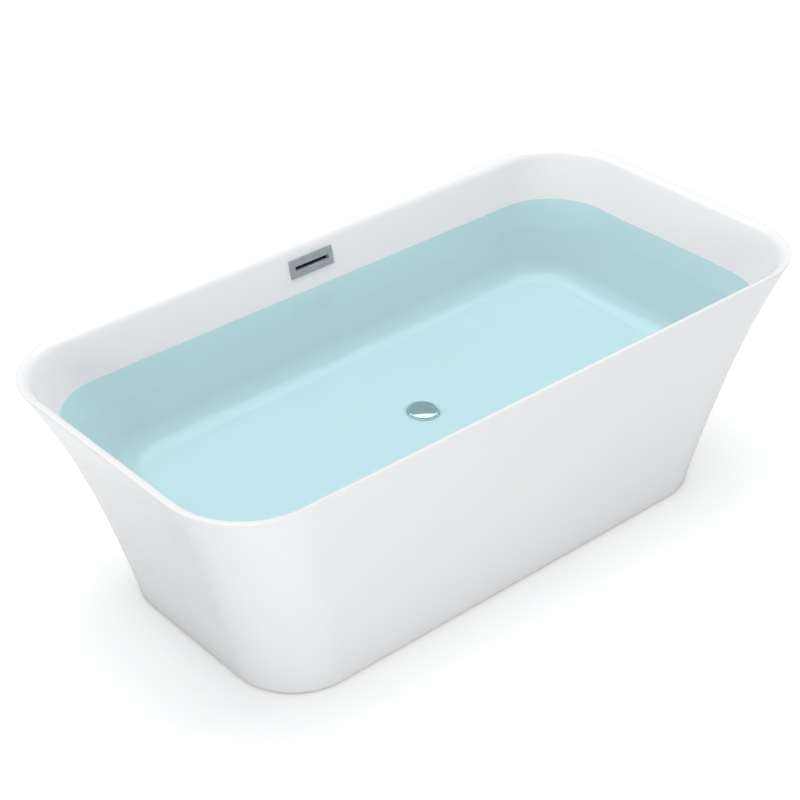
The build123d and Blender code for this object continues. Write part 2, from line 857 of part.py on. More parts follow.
def slip_nut():
    body = hexagon(slip_nut_flats, slip_nut_bottom, slip_nut_bottom + slip_nut_height)
    body -= rod(tee_neck_radius, slip_washer_bottom, slip_nut_bottom + slip_nut_height + past)
    return body - rod(tailpiece_radius + slip_nut_clearance, slip_nut_bottom - past, tee_bottom)


def tailpiece():
    """Outlet tube with a turned line that shows how far a socket may reach."""
    depth, groove_width = tailpiece_groove
    line = slip_nut_bottom - groove_drop
    pipe = ring(tailpiece_radius, tailpiece_radius - tailpiece_wall, tailpiece_bottom, tailpiece_top)
    return pipe - ring(tailpiece_radius + past, tailpiece_radius - depth, line, line + groove_width)


# ================================================================ assembly
keep("basin", basin())
keep("outer_skirt", skirt())
keep("glass_fibre_layer", laminate())
keep("base_board", board())
keep("skirt_stiffening_band", screwed(band(), bracket_screws()))
keep("frame_rails", screwed(rails(), bracket_screws()))
keep("frame_cross_members", cross_members())
keep("frame_bolts", frame_bolts())
keep("skirt_brackets", skirt_brackets())
keep("bracket_screws", bracket_screws())
keep("foot_weld_nuts", foot_nuts(weld_nut_bottom, rail_bottom))
keep("foot_lock_nuts", foot_nuts(weld_nut_bottom - lock_nut_height, weld_nut_bottom))
for number, (sx, sy) in enumerate(corners, 1):
    keep(f"foot_{number}_stud", foot_stud(sx * foot_offset, sy * rail_offset))
    keep(f"foot_{number}_pad", foot_pad(sx * foot_offset, sy * rail_offset))
    keep(f"foot_{number}_sole", foot_sole(sx * foot_offset, sy * rail_offset))

keep("overflow_cover", overflow_cover())
keep("overflow_plate", overflow_plate())
keep("overflow_screws", overflow_screws())
keep("overflow_gasket", overflow_gasket())
keep("overflow_housing", overflow_housing())
keep("overflow_duct", overflow_duct())
keep("overflow_boot", overflow_boot())
keep("overflow_hose", overflow_hose())
keep("hose_clamps", hose_clamps())
keep("hose_clamp_screws", clamp_screws())

keep("drain_flange", drain_flange())
keep("drain_flange_seal", ring(flange_radius - seal_margin, drain_hole_radius, seat, seat + seal_height))
keep("drain_floor_washer", barrel_washer(floor_washer_bottom, boss_bottom))
keep("drain_friction_washer", barrel_washer(friction_washer_bottom, floor_washer_bottom))
keep("drain_locknut", locknut())
keep("waste_tee", waste_tee())
keep("tee_seal", ring(barrel_radius, barrel_bore, tee_shoulder, barrel_bottom))
keep("tailpiece", tailpiece())
keep("slip_nut", slip_nut())
keep("slip_washer", ring(tee_neck_radius, tailpiece_radius, slip_washer_bottom, tee_bottom))
keep("stopper_cartridge", cartridge())
keep("stopper_spring", stopper_spring())
keep("stopper_plunger", stopper_plunger())
keep("stopper_cap", stopper_cap())
keep("stopper_seal", stopper_seal())

os.makedirs("parts", exist_ok=True)
for name, shape in nodes.items():
    export_step(Compound(children=shape) if isinstance(shape, list) else shape, f"parts/{name}.step")
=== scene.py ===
import json
import math
import bmesh
import bpy
import numpy as np
from mathutils import Matrix, Vector


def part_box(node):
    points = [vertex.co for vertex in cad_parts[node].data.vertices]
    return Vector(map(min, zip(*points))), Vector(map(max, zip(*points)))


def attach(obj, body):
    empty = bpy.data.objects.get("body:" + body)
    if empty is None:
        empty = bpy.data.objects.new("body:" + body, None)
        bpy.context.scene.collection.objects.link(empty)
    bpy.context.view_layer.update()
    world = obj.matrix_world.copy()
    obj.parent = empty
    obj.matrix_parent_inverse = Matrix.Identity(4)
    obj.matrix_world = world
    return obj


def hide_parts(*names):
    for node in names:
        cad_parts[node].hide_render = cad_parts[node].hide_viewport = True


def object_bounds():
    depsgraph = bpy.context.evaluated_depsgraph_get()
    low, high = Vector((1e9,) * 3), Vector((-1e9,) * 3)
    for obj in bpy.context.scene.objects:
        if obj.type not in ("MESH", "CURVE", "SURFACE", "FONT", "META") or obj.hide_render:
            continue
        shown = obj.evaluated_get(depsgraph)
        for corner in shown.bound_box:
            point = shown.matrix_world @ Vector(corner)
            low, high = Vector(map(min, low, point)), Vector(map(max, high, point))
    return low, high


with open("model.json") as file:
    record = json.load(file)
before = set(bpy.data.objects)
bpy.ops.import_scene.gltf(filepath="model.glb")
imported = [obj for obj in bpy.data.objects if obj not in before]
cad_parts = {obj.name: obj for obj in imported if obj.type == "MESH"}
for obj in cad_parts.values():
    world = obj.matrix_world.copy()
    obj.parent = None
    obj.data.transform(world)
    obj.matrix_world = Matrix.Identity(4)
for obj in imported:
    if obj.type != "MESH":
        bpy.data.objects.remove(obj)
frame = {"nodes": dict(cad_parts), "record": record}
cadBox = [list(corner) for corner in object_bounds()]
cadNodes = frame["nodes"]
print("frame loaded,", len(cadNodes), "CAD nodes")

# the tub's own measures, in metres; heights are above the ground
tub = {
    "length": cadBox[1][0] - cadBox[0][0],
    "width": cadBox[1][1] - cadBox[0][1],
    "height": cadBox[1][2],
    "footGap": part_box("outer_skirt")[0].z,
    "lipBottom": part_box("outer_skirt")[1].z,
    "baseLength": 1.314,
    "baseWidth": 0.626,
    "rimCorner": 0.188,
    "baseCorner": 0.154,
    "cornerGrowth": 0.75,
    "endCurl": 0.30,
    "sideCurl": 0.17,
    "land": 0.003,
    "rimEdge": 0.002,
    "skirtEdge": 0.0016,
    "skirtThick": 0.004,
    "wallGap": (0.021, 0.0215),  # end and side, at the rim
    "floorGap": (0.040, 0.032),
    "floorHeight": 0.164,
    "floorFall": 0.006,
    "floorFillet": 0.080,
    "roll": 0.026,
    "shell": 0.004,
}
creaseAngle = 32  # degrees; a sharper turn between faces stays an edge


# surfaces worked out on grids
def ringSteps(cornerSteps=26, longSteps=44, shortSteps=22):
    # one closed walk round a rounded rectangle: for each step the corner it belongs to, its angle there,
    # and how far it has gone along the straight to the next corner
    rows = []
    signs = [(1, 1), (-1, 1), (-1, -1), (1, -1)]
    for index, sign in enumerate(signs):
        following = signs[(index + 1) % 4]
        start = index * math.pi / 2
        angles = start + np.arange(cornerSteps) / cornerSteps * math.pi / 2
        arc = np.stack([np.full(cornerSteps, v) for v in (*sign, 0, *sign, 0, 0)], 1).astype(float)
        arc[:, 2] = angles
        arc[:, 5] = angles
        count = longSteps if index % 2 == 0 else shortSteps
        straight = np.stack([np.full(count, v) for v in (*sign, 0, *following, 0, 0)], 1).astype(float)
        straight[:, 2] = start + math.pi / 2
        straight[:, 5] = start + math.pi / 2
        straight[:, 6] = np.arange(count) / count
        rows += [arc, straight]
    return np.concatenate(rows).T


ringTable = ringSteps()


def ringPoints(endHalf, sideHalf, corner, level):
    # point = corner centre + radius at its angle, drawn straight to the next corner's arc; one ring a level
    given = (endHalf, sideHalf, corner, level)
    endHalf, sideHalf, corner, level = (np.asarray(v, float)[:, None] for v in given)
    signX, signY, angle, nextX, nextY, nextAngle, along = ringTable[:, None, :]
    hereX = signX * (endHalf - corner) + corner * np.cos(angle)
    hereY = signY * (sideHalf - corner) + corner * np.sin(angle)
    thereX = nextX * (endHalf - corner) + corner * np.cos(nextAngle)
    thereY = nextY * (sideHalf - corner) + corner * np.sin(nextAngle)
    x = hereX + (thereX - hereX) * along
    y = hereY + (thereY - hereY) * along
    return np.stack([x, y, np.broadcast_to(level, x.shape)], -1)


def circleRings(radius, level, like):
    # circles whose steps point the same way as those of the ring they grow into
    turn = np.arctan2(like[:, 1], like[:, 0])
    radius, level = (np.asarray(v, float)[:, None] for v in (radius, level))
    x, y = radius * np.cos(turn), radius * np.sin(turn)
    return np.stack([x, y, np.broadcast_to(level, x.shape)], -1)


def gridFaces(rows, columns, closeRows):
    # the corners of every cell of the grid; a ring always closes, the rows only where they are told to
    row = np.arange(rows if closeRows else rows - 1)
    row, column = np.meshgrid(row, np.arange(columns), indexing="ij")
    nextRow, nextColumn = (row + 1) % rows, (column + 1) % columns
    corners = [row * columns + column, row * columns + nextColumn]
    corners += [nextRow * columns + nextColumn, nextRow * columns + column]
    return np.stack(corners, -1).reshape(-1, 4)


def surfacePiece(name, points, closeRows=False, flip=False, weld=0.0, sharp=creaseAngle):
    rows, columns = points.shape[:2]
    faces = gridFaces(rows, columns, closeRows)
    if flip:
        faces = faces[:, ::-1]
    return meshPiece(name, points.reshape(-1, 3), faces, weld, sharp)


def meshPiece(name, points, faces, weld=0.0, sharp=creaseAngle):
    mesh = bpy.data.meshes.new(name)
    mesh.vertices.add(len(points))
    mesh.vertices.foreach_set("co", np.ascontiguousarray(points, np.float32).ravel())
    mesh.loops.add(faces.size)
    mesh.loops.foreach_set("vertex_index", np.ascontiguousarray(faces, np.int32).ravel())
    mesh.polygons.add(len(faces))
    mesh.polygons.foreach_set("loop_start", np.arange(0, faces.size, faces.shape[1], dtype=np.int32))
    mesh.update(calc_edges=True)
    mesh.validate()
    if weld:
        work = bmesh.new()
        work.from_mesh(mesh)
        bmesh.ops.remove_doubles(work, verts=work.verts, dist=weld)
        bmesh.ops.dissolve_degenerate(work, dist=weld / 4, edges=work.edges)
        work.to_mesh(mesh)
        work.free()
    mesh.shade_smooth()
    mesh.set_sharp_from_angle(angle=math.radians(sharp))
    piece = bpy.data.objects.new(name, mesh)
    bpy.context.scene.collection.objects.link(piece)
    return piece


# the tub's plan at any height
def rise(z):
    return np.minimum(1.0, (z - tub["footGap"]) / (tub["height"] - tub["land"] - tub["footGap"]))


def skirtHalf(z):
    # half size = base half + flare x (a straight share + a cubic share of the rise)
    z = np.asarray(z, float)
    t = rise(z)
    end = tub["baseLength"] / 2 + (tub["length"] - tub["baseLength"]) / 2 * (
        (1 - tub["endCurl"]) * t + tub["endCurl"] * t**3
    )
    side = tub["baseWidth"] / 2 + (tub["width"] - tub["baseWidth"]) / 2 * (
        (1 - tub["sideCurl"]) * t + tub["sideCurl"] * t**3
    )
    growth = np.maximum(t, 0.0) ** tub["cornerGrowth"]
    corner = tub["baseCorner"] + (tub["rimCorner"] - tub["baseCorner"]) * growth
    return end, side, corner


def wallHalf(z, across):
    # basin face = skirt face less a gap that widens with the square of the depth; across: 0 end, 1 side
    depth = np.maximum(0.0, (tub["height"] - z) / (tub["height"] - tub["floorHeight"]))
    atRim, atFloor = tub["wallGap"][across], tub["floorGap"][across]
    return skirtHalf(z)[across] - (atRim + (atFloor - atRim) * depth**2)


filletCentre = tub["floorHeight"] + tub["floorFall"] + tub["floorFillet"]
rollCentre = tub["height"] - tub["roll"]
searchSteps = 600
slopeStep = 0.0005  # half the height over which a slope is taken


def touching(across):
    # where the floor's fillet and the rim's roll run into the wall: the circle just kisses the wall line
    fillet, roll = tub["floorFillet"], tub["roll"]
    low = np.linspace(filletCentre - fillet, filletCentre, searchSteps)
    reach = wallHalf(low, across) - np.sqrt(np.maximum(0, fillet**2 - (low - filletCentre) ** 2))
    high = np.linspace(rollCentre, tub["height"], searchSteps)
    over = wallHalf(high, across) + np.sqrt(np.maximum(0, roll**2 - (high - rollCentre) ** 2))
    return low[reach.argmin()], reach.min(), high[over.argmax()], over.max()


touchLines = [touching(0), touching(1)]


def basinHalf(z, across, offset=0.0):
    # floor fillet, then the wall, then the roll of the rim; offset moves the face outwards
    filletZ, filletX, rollZ, rollX = touchLines[across]
    big, small = tub["floorFillet"] + offset, tub["roll"] - offset
    slope = (wallHalf(z + slopeStep, across) - wallHalf(z - slopeStep, across)) / (2 * slopeStep)
    wall = wallHalf(z, across) + offset * np.hypot(1, slope)
    low = filletX + np.sqrt(np.maximum(0, big**2 - (z - filletCentre) ** 2))
    high = rollX - np.sqrt(np.maximum(0, small**2 - (z - rollCentre) ** 2))
    filletEnd = filletCentre - (filletCentre - filletZ) * big / tub["floorFillet"]
    rollStart = rollCentre + (rollZ - rollCentre) * small / tub["roll"]
    return np.where(z < filletEnd, low, np.where(z > rollStart, high, wall))


def basinRings(z, offset=0.0):
    z = np.asarray(z, float)
    end, side = basinHalf(z, 0, offset), basinHalf(z, 1, offset)
    outerEnd, outerSide, outerCorner = skirtHalf(z)
    return ringPoints(end, side, outerCorner - (outerEnd - end + outerSide - side) / 2, z)


def skirtRings(z, inset=0.0):
    z = np.asarray(z, float)
    above, below = skirtHalf(z + slopeStep), skirtHalf(z - slopeStep)
    slopes = [(high - low) / (2 * slopeStep) for high, low in zip(above[:2], below[:2])]
    end, side, corner = skirtHalf(z)
    inset = np.asarray(inset, float)
    endInset, sideInset = (inset * np.hypot(1, slope) for slope in slopes)
    return ringPoints(end - endInset, side - sideInset, corner - inset, z)


def eased(low, high, count):
    return low + (high - low) * np.linspace(0, 1, count)


# basin
flangeRadius = (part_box("drain_flange")[1].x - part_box("drain_flange")[0].x) / 2
basinShape = {
    "recess": flangeRadius + 0.005,
    "recessDepth": 0.003,
    "recessLip": 0.0012,
    "lipInset": 0.0005,
    "seatEdge": 0.004,  # in from the recess
    "seatRing": 0.033,
    "hole": 0.025,
    "pan": 0.080,
    "panCorner": 0.070,
    "bossWall": 0.006,
    "filletTurn": 66,  # degrees
    "rollTurn": 78,
}


def basinSurface():
    # the profile runs from the drain hole over the floor, up the wall, over the rim and back down the outside
    floor, shell = tub["floorHeight"], tub["shell"]
    turn = np.radians(np.linspace(0, basinShape["filletTurn"], 18))
    lowWall = filletCentre - tub["floorFillet"] * np.cos(turn)
    rollTurn = np.radians(np.linspace(basinShape["rollTurn"], 0, 20))
    rollZ = rollCentre + tub["roll"] * np.cos(rollTurn)
    wallZ = eased(lowWall[-1], rollZ[0], 34)[1:-1]
    inner = basinRings(np.concatenate([lowWall, wallZ, rollZ]))
    panHalf, panCorner = [basinShape["pan"]] * 2, [basinShape["panCorner"]] * 2
    pan = ringPoints(panHalf, panHalf, panCorner, [floor, floor - shell])
    recess = basinShape["recess"]
    seat = floor - basinShape["recessDepth"]
    lipTurn = np.radians(np.linspace(90, 0, 5))
    soft = basinShape["recessLip"]
    lipR = recess - basinShape["lipInset"] + soft * (1 - np.sin(lipTurn))
    seatR = [basinShape["hole"], basinShape["seatRing"], recess - basinShape["seatEdge"]]
    recessR = np.concatenate([seatR, lipR])
    recessZ = np.concatenate([[seat, seat, seat], floor - soft + soft * np.cos(lipTurn)])
    dish = circleRings(recessR, recessZ, pan[0])
    share = np.linspace(0, 1, 8)[1:-1, None, None]
    nearPan = dish[-1][None] + (pan[0][None] - dish[-1][None]) * share
    toEdge = pan[0][None] + (inner[0][None] - pan[0][None]) * np.linspace(0, 1, 26)[1:-1, None, None]
    edgeTurn = np.radians(np.linspace(90, 0, 7))
    edge = tub["rimEdge"]
    endTop, sideTop, cornerTop = (float(v) for v in skirtHalf(tub["height"]))
    pull = edge * (1 - np.cos(edgeTurn))
    edgeZ = tub["height"] - edge + edge * np.sin(edgeTurn)
    edgeRings = ringPoints(endTop - pull, sideTop - pull, cornerTop - pull, edgeZ)
    lip = skirtRings(np.linspace(tub["height"] - tub["land"], tub["lipBottom"], 5))
    backTop = basinRings(np.array([tub["lipBottom"]]), shell)
    underLip = lip[-1][None] + (backTop - lip[-1][None]) * np.array([0.35, 0.7])[:, None, None]
    big = tub["floorFillet"] + shell
    backLow = filletCentre - big * np.cos(turn)
    backZ = np.concatenate([np.linspace(tub["lipBottom"], backLow[-1], 24), backLow[::-1][1:]])
    back = basinRings(backZ, shell)
    backFloor = back[-1][None] + (pan[1][None] - back[-1][None]) * np.linspace(0, 1, 12)[1:-1, None, None]
    bossRadius = recess + basinShape["bossWall"]
    bossR = [bossRadius, bossRadius, basinShape["hole"]]
    boss = circleRings(bossR, [floor - shell, seat - shell, seat - shell], pan[1])
    parts = [dish, nearPan, pan[:1], toEdge, inner, edgeRings, lip, underLip, back, backFloor, pan[1:], boss]
    return np.concatenate(parts)


def cutWith(piece, cutter):
    # takes the cutter's shape out of a piece and throws the cutter away
    change = piece.modifiers.new("opening", "BOOLEAN")
    change.operation = "DIFFERENCE"
    change.solver = "EXACT"
    change.object = cutter
    settled = bpy.data.meshes.new_from_object(piece.evaluated_get(bpy.context.evaluated_depsgraph_get()))
    piece.modifiers.clear()
    piece.data = settled
    bpy.data.objects.remove(cutter)


def wallPlace(localX, localY, localZ, seat):
    # a point given along the tub, up the wall and into the basin becomes a point of the tub
    tilt = seat["tilt"]
    x = localX
    y = seat["y"] + localY * math.sin(tilt) - localZ * math.cos(tilt)
    z = seat["z"] + localY * math.cos(tilt) + localZ * math.sin(tilt)
    return np.stack(np.broadcast_arrays(x, y, z), -1)


overflow = {"drop": 0.053, "slotWidth": 0.096, "slotTall": 0.012, "slotCorner": 0.0059, "reach": 0.02}
overflowZ = tub["height"] - overflow["drop"]
overflowLean = wallHalf(overflowZ + slopeStep, 1) - wallHalf(overflowZ - slopeStep, 1)
overflowSlope = float(overflowLean / (2 * slopeStep))
overflowSeat = {"y": float(wallHalf(overflowZ, 1)), "z": overflowZ, "tilt": math.atan(overflowSlope)}


def slotLoop(width, tall, corner, steps=8):
    # a rounded slot outline, walked anticlockwise
    turn = np.linspace(0, math.pi / 2, steps)
    loops = []
    for index, (signX, signY) in enumerate([(1, 1), (-1, 1), (-1, -1), (1, -1)]):
        angle = turn + index * math.pi / 2
        x = signX * (width / 2 - corner) + corner * np.cos(angle)
        y = signY * (tall / 2 - corner) + corner * np.sin(angle)
        loops.append(np.stack([x, y], 1))
    return np.concatenate(loops)


def plug(name, outline, low, high):
    # a closed prism on the overflow seat: two outlines joined, each end fanned to its middle
    ends = ((0, low), (1, low), (1, high), (0, high))
    loops = [wallPlace(*(outline * share).T, depth, overflowSeat) for share, depth in ends]
    return surfacePiece(name, np.stack(loops), weld=1e-6)


basin = surfacePiece("basinShell", basinSurface(), closeRows=True)
slotOutline = slotLoop(overflow["slotWidth"], overflow["slotTall"], overflow["slotCorner"])
cutWith(basin, plug("slotCutter", slotOutline, -overflow["reach"], overflow["reach"]))
basin.data.shade_smooth()
basin.data.set_sharp_from_angle(angle=math.radians(creaseAngle))
print("basin made")


# skirt
def skirtSurface():
    # down the outside, round the lower edge and up the inside
    edge, thick = tub["skirtEdge"], tub["skirtThick"]
    downZ = np.linspace(tub["lipBottom"], tub["footGap"] + edge, 40)
    outside = skirtRings(downZ)
    turn = np.radians(np.linspace(0, 90, 6)[1:])
    low = skirtRings(tub["footGap"] + edge * (1 - np.sin(turn)), edge * (1 - np.cos(turn)))
    inside = skirtRings(np.linspace(tub["footGap"], tub["lipBottom"], 30), thick)
    return np.concatenate([outside, low, inside])


skirt = surfacePiece("outerSkirt", skirtSurface(), closeRows=True)
print("skirt made")


# shared surface effects, each a shader node group
def effectGroup(name, inputs, outputs):
    group = bpy.data.node_groups.new(name, "ShaderNodeTree")
    for label, kind, value in inputs:
        socket = group.interface.new_socket(name=label, in_out="INPUT", socket_type=kind)
        if value is not None:
            socket.default_value = value
    for label, kind in outputs:
        group.interface.new_socket(name=label, in_out="OUTPUT", socket_type=kind)
    return group, group.nodes.new("NodeGroupInput"), group.nodes.new("NodeGroupOutput")


def noiseNode(tree, detail, rough):
    noise = tree.nodes.new("ShaderNodeTexNoise")
    noise.inputs["Detail"].default_value = detail
    noise.inputs["Roughness"].default_value = rough
    return noise


def makeMottle():
    # noise at the given size, spread between a low and a high value
    group, given, result = effectGroup(
        "softMottle",
        [
            ("Coordinates", "NodeSocketVector", None),
            ("Size", "NodeSocketFloat", 8.0),
            ("Low", "NodeSocketFloat", 0.0),
            ("High", "NodeSocketFloat", 1.0),
        ],
        [("Value", "NodeSocketFloat")],
    )
    noise = noiseNode(group, 4.0, 0.55)
    spread = group.nodes.new("ShaderNodeMapRange")
    spread.inputs["From Min"].default_value = 0.3
    spread.inputs["From Max"].default_value = 0.7
    group.links.new(given.outputs["Coordinates"], noise.inputs["Vector"])
    group.links.new(given.outputs["Size"], noise.inputs["Scale"])
    group.links.new(noise.outputs["Fac"], spread.inputs["Value"])
    group.links.new(given.outputs["Low"], spread.inputs["To Min"])
    group.links.new(given.outputs["High"], spread.inputs["To Max"])
    group.links.new(spread.outputs["Result"], result.inputs["Value"])
    return group


def makeBrushed():
    # noise drawn out along one direction into fine parallel lines
    group, given, result = effectGroup(
        "brushedLines",
        [
            ("Coordinates", "NodeSocketVector", None),
            ("Stretch", "NodeSocketVector", (20.0, 2400.0, 2400.0)),
            ("Low", "NodeSocketFloat", 0.2),
            ("High", "NodeSocketFloat", 0.4),
        ],
        [("Value", "NodeSocketFloat"), ("Height", "NodeSocketFloat")],
    )
    scale = group.nodes.new("ShaderNodeVectorMath")
    scale.operation = "MULTIPLY"
    noise = noiseNode(group, 2.0, 0.6)
    noise.inputs["Scale"].default_value = 1.0
    spread = group.nodes.new("ShaderNodeMapRange")
    spread.inputs["From Min"].default_value = 0.3
    spread.inputs["From Max"].default_value = 0.7
    group.links.new(given.outputs["Coordinates"], scale.inputs[0])
    group.links.new(given.outputs["Stretch"], scale.inputs[1])
    group.links.new(scale.outputs["Vector"], noise.inputs["Vector"])
    group.links.new(noise.outputs["Fac"], spread.inputs["Value"])
    group.links.new(given.outputs["Low"], spread.inputs["To Min"])
    group.links.new(given.outputs["High"], spread.inputs["To Max"])
    group.links.new(spread.outputs["Result"], result.inputs["Value"])
    group.links.new(noise.outputs["Fac"], result.inputs["Height"])
    return group


def makeSpangle():
    # crystal cells of zinc: every cell has its own tone
    group, given, result = effectGroup(
        "zincSpangle",
        [("Coordinates", "NodeSocketVector", None), ("Size", "NodeSocketFloat", 160.0)],
        [("Tone", "NodeSocketFloat"), ("Grain", "NodeSocketFloat")],
    )
    warp = noiseNode(group, 2.0, 0.5)
    warp.inputs["Scale"].default_value = 60.0
    bend = group.nodes.new("ShaderNodeVectorMath")
    bend.operation = "MULTIPLY_ADD"
    bend.inputs[1].default_value = (0.012, 0.012, 0.012)
    cells = group.nodes.new("ShaderNodeTexVoronoi")
    tone = group.nodes.new("ShaderNodeSeparateColor")
    fine = noiseNode(group, 5.0, 0.6)
    fine.inputs["Scale"].default_value = 900.0
    group.links.new(given.outputs["Coordinates"], warp.inputs["Vector"])
    group.links.new(warp.outputs["Color"], bend.inputs[0])
    group.links.new(given.outputs["Coordinates"], bend.inputs[2])
    group.links.new(bend.outputs["Vector"], cells.inputs["Vector"])
    group.links.new(given.outputs["Size"], cells.inputs["Scale"])
    group.links.new(cells.outputs["Color"], tone.inputs["Color"])
    group.links.new(tone.outputs["Red"], result.inputs["Tone"])
    group.links.new(given.outputs["Coordinates"], fine.inputs["Vector"])
    group.links.new(fine.outputs["Fac"], result.inputs["Grain"])
    return group


def makeChips():
    # two sizes of flat cells mixed with noise, for pressed chips and chopped strands
    group, given, result = effectGroup(
        "pressedChips",
        [
            ("Coordinates", "NodeSocketVector", None),
            ("Stretch", "NodeSocketVector", (1.0, 1.0, 1.0)),
            ("Size", "NodeSocketFloat", 300.0),
        ],
        [("Tone", "NodeSocketFloat"), ("Height", "NodeSocketFloat")],
    )
    scale = group.nodes.new("ShaderNodeVectorMath")
    scale.operation = "MULTIPLY"
    cells = group.nodes.new("ShaderNodeTexVoronoi")
    cells.inputs["Randomness"].default_value = 1.0
    split = group.nodes.new("ShaderNodeSeparateColor")
    noise = noiseNode(group, 6.0, 0.65)
    blend = group.nodes.new("ShaderNodeMath")
    blend.operation = "MULTIPLY_ADD"
    blend.inputs[1].default_value = 0.6
    group.links.new(given.outputs["Coordinates"], scale.inputs[0])
    group.links.new(given.outputs["Stretch"], scale.inputs[1])
    group.links.new(scale.outputs["Vector"], cells.inputs["Vector"])
    group.links.new(scale.outputs["Vector"], noise.inputs["Vector"])
    group.links.new(given.outputs["Size"], cells.inputs["Scale"])
    group.links.new(given.outputs["Size"], noise.inputs["Scale"])
    group.links.new(cells.outputs["Color"], split.inputs["Color"])
    group.links.new(split.outputs["Green"], blend.inputs[0])
    group.links.new(noise.outputs["Fac"], blend.inputs[2])
    group.links.new(blend.outputs["Value"], result.inputs["Tone"])
    group.links.new(noise.outputs["Fac"], result.inputs["Height"])
    return group


effects = {"mottle": makeMottle(), "brushed": makeBrushed(), "spangle": makeSpangle(), "chips": makeChips()}


# materials
def paint(value):
    return (*value, 1.0)


def newMaterial(name, **settings):
    # a Principled material; settings are its constant values, with spaces written as underscores
    material = bpy.data.materials.new(name)
    material.use_nodes = True
    shader = material.node_tree.nodes["Principled BSDF"]
    for socket, value in settings.items():
        shader.inputs[socket.replace("_", " ")].default_value = value
    return material, material.node_tree, shader


def addEffect(tree, kind, **values):
    # one effect group, fed with the object's own coordinates
    coordinates = tree.nodes.new("ShaderNodeTexCoord")
    node = tree.nodes.new("ShaderNodeGroup")
    node.node_tree = effects[kind]
    tree.links.new(coordinates.outputs["Object"], node.inputs["Coordinates"])
    for label, value in values.items():
        node.inputs[label].default_value = value
    return node


def addTone(tree, shader, mask, low, high):
    # base colour between two tones, by a mask
    mix = tree.nodes.new("ShaderNodeMix")
    mix.data_type = "RGBA"
    mix.inputs[6].default_value = paint(low)
    mix.inputs[7].default_value = paint(high)
    tree.links.new(mask, mix.inputs[0])
    tree.links.new(mix.outputs[2], shader.inputs["Base Color"])


def addBump(tree, shader, height, strength, distance):
    bump = tree.nodes.new("ShaderNodeBump")
    bump.inputs["Strength"].default_value = strength
    bump.inputs["Distance"].default_value = distance
    tree.links.new(height, bump.inputs["Height"])
    tree.links.new(bump.outputs["Normal"], shader.inputs["Normal"])


acrylicLook = {
    "low": (0.806, 0.806, 0.806),
    "high": (0.814, 0.814, 0.818),
    "rough": (0.20, 0.26),
    "cast": 7.0,
    "sheen": 40.0,
    "wave": 26.0,
    "depth": 0.00005,
    "coat": {"Coat_Weight": 0.5, "Coat_Roughness": 0.03, "Coat_IOR": 1.49, "IOR": 1.49},
}


def whiteAcrylic():
    # cast sheet: an even white under a clear gloss that carries the slightest waviness of forming
    material, tree, shader = newMaterial("whiteAcrylic", **acrylicLook["coat"])
    cast = addEffect(tree, "mottle", Size=acrylicLook["cast"])
    addTone(tree, shader, cast.outputs["Value"], acrylicLook["low"], acrylicLook["high"])
    smooth, dull = acrylicLook["rough"]
    sheen = addEffect(tree, "mottle", Size=acrylicLook["sheen"], Low=smooth, High=dull)
    tree.links.new(sheen.outputs["Value"], shader.inputs["Roughness"])
    wave = addEffect(tree, "mottle", Size=acrylicLook["wave"])
    addBump(tree, shader, wave.outputs["Value"], 0.25, acrylicLook["depth"])
    return material


def metalFinish(name, low, high, rough, stretch, bump):
    # metal with drawn lines: tone and roughness follow the lines, with a broader mottle under them
    material, tree, shader = newMaterial(name, Metallic=1.0)
    lines = addEffect(tree, "brushed", Stretch=stretch, Low=rough[0], High=rough[1])
    tree.links.new(lines.outputs["Value"], shader.inputs["Roughness"])
    shade = addEffect(tree, "mottle", Size=60.0)
    addTone(tree, shader, shade.outputs["Value"], low, high)
    addBump(tree, shader, lines.outputs["Height"], bump, 0.00002)
    return material


def zincFinish(name, low, high, rough, size):
    # hot-dip zinc: cells of differing tone and a fine grain
    material, tree, shader = newMaterial(name, Metallic=0.9)
    zinc = addEffect(tree, "spangle", Size=size)
    addTone(tree, shader, zinc.outputs["Tone"], low, high)
    shade = addEffect(tree, "mottle", Size=140.0, Low=rough[0], High=rough[1])
    tree.links.new(shade.outputs["Value"], shader.inputs["Roughness"])
    addBump(tree, shader, zinc.outputs["Grain"], 0.2, 0.00004)
    return material


def mouldedFinish(name, low, high, rough, grain=900.0, depth=0.00004):
    # moulded plastic or rubber: fine even grain, faint cloudiness
    material, tree, shader = newMaterial(name)
    cloud = addEffect(tree, "mottle", Size=35.0)
    addTone(tree, shader, cloud.outputs["Value"], low, high)
    sheen = addEffect(tree, "mottle", Size=grain / 3, Low=rough[0], High=rough[1])
    tree.links.new(sheen.outputs["Value"], shader.inputs["Roughness"])
    fine = addEffect(tree, "mottle", Size=grain)
    addBump(tree, shader, fine.outputs["Value"], 0.35, depth)
    return material


def chippedFinish(name, low, high, rough, size, stretch, depth):
    # pressed chips in resin, or chopped glass strands
    material, tree, shader = newMaterial(name, Roughness=rough, Coat_Weight=0.15, Coat_Roughness=0.3)
    chips = addEffect(tree, "chips", Size=size, Stretch=stretch)
    addTone(tree, shader, chips.outputs["Tone"], low, high)
    addBump(tree, shader, chips.outputs["Height"], 0.7, depth)
    return material


